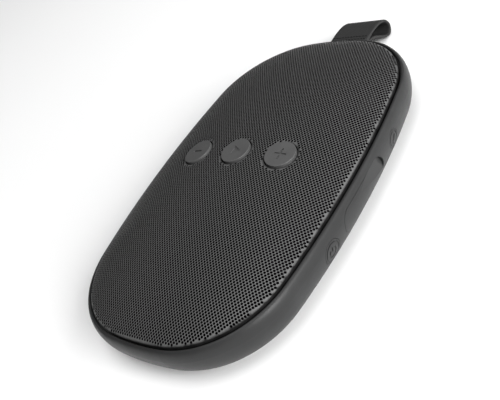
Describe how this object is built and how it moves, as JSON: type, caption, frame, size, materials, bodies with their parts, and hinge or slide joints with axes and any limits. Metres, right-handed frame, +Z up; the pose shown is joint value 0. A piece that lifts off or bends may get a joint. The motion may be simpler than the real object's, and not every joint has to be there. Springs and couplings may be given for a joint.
{
  "type": "shower speaker",
  "caption": "Flat pebble-shaped waterproof speaker with a domed perforated grille, top and side keys, port cover and webbing loop.",
  "frame": {"origin": "centre of the flat back, on the surface that the speaker lies on", "axes": "+Z up out of the grille, +Y along the length towards the webbing loop, +X towards the side keys and port cover"},
  "size_m": [0.097, 0.1818, 0.0277],
  "materials": {
    "rubber_skin": "soft matt moulded rubber",
    "black_plastic": "moulded plastic",
    "grille_paint": "satin painted perforated steel",
    "black_cloth": "fine acoustic cloth",
    "key_grey": "matt moulded plastic",
    "webbing": "woven polyester webbing",
    "steel": "plated steel",
    "foam": "closed-cell foam",
    "cone": "coated paper",
    "soft_rubber": "moulded rubber",
    "spider_cloth": "resin-dipped cloth",
    "copper": "enamelled copper wire",
    "magnet": "nickel-plated magnet",
    "board_green": "solder mask",
    "chip_black": "moulded epoxy",
    "battery_wrap": "foil pouch"
  },
  "bodies": {
    "housing": {"rubber_sleeve": "rubber_skin", "inner_tub": "black_plastic", "strap_pin": "steel", "grille": "grille_paint", "acoustic_cloth": "black_cloth", "grille_gasket": "foam", "front_baffle": "black_plastic", "baffle_gasket": "foam", "driver_basket": "steel", "driver_gasket": "foam", "driver_surround": "soft_rubber", "driver_spider": "spider_cloth", "top_plate": "steel", "magnet_ring": "magnet", "back_plate": "steel", "radiator_frame": "black_plastic", "radiator_surround": "soft_rubber", "main_board": "board_green", "usb_port": "steel", "aux_jack": "black_plastic", "radio_shield": "steel", "amplifier_chip": "chip_black", "capacitors": "steel", "battery_socket": "black_plastic", "battery": "battery_wrap", "battery_pad": "foam", "button_bridge": "black_plastic", "button_board": "board_green", "top_switches": "chip_black", "side_switch_boards": "board_green", "side_switches": "chip_black", "baffle_screws": "steel", "driver_screws": "steel", "radiator_screws": "steel", "bridge_screws": "steel", "board_screws": "steel"},
    "minus_key": {"minus_button": "key_grey"},
    "play_key": {"play_button": "key_grey"},
    "plus_key": {"plus_button": "key_grey"},
    "power_key": {"power_button": "rubber_skin"},
    "link_key": {"link_button": "rubber_skin"},
    "cover": {"port_cover": "rubber_skin"},
    "loop": {"strap_loop": "webbing"},
    "cone": {"driver_cone": "cone", "voice_coil": "copper", "dust_cap": "cone"},
    "radiator": {"radiator_plate": "cone", "radiator_weight": "steel"}
  },
  "joints": [
    {"name": "minus_press", "type": "slide", "parent": "housing", "child": "minus_key", "axis": [0.1209, 0, -0.9927], "range_m": [0, 0.0007], "stiffness_N_per_m": 300, "springref_m": -0.001},
    {"name": "play_press", "type": "slide", "parent": "housing", "child": "play_key", "axis": [0, 0, -1], "range_m": [0, 0.0007], "stiffness_N_per_m": 300, "springref_m": -0.001},
    {"name": "plus_press", "type": "slide", "parent": "housing", "child": "plus_key", "axis": [-0.1209, 0, -0.9927], "range_m": [0, 0.0007], "stiffness_N_per_m": 300, "springref_m": -0.001},
    {"name": "power_press", "type": "slide", "parent": "housing", "child": "power_key", "axis": [-1, 0, 0], "range_m": [0, 0.0005], "stiffness_N_per_m": 300, "springref_m": -0.001},
    {"name": "link_press", "type": "slide", "parent": "housing", "child": "link_key", "axis": [-1, 0, 0], "range_m": [0, 0.0005], "stiffness_N_per_m": 300, "springref_m": -0.001},
    {"name": "port_cover_hinge", "type": "hinge", "parent": "housing", "child": "cover", "pos_m": [0.0482, -0.01555, 0.0095], "axis": [0, 0, -1], "range_deg": [0, 100]},
    {"name": "strap_swing", "type": "hinge", "parent": "housing", "child": "loop", "pos_m": [0, 0.0738, 0.0089], "axis": [1, 0, 0], "range_deg": [-15, 20]},
    {"name": "cone_travel", "type": "slide", "parent": "housing", "child": "cone", "axis": [0, 0, 1], "range_m": [-0.001, 0.001], "stiffness_N_per_m": 1200, "deforming": ["driver_surround", "driver_spider"]},
    {"name": "radiator_travel", "type": "slide", "parent": "housing", "child": "radiator", "axis": [0, 0, 1], "range_m": [-0.0015, 0.0015], "stiffness_N_per_m": 800, "deforming": ["radiator_surround"]}
  ]
}
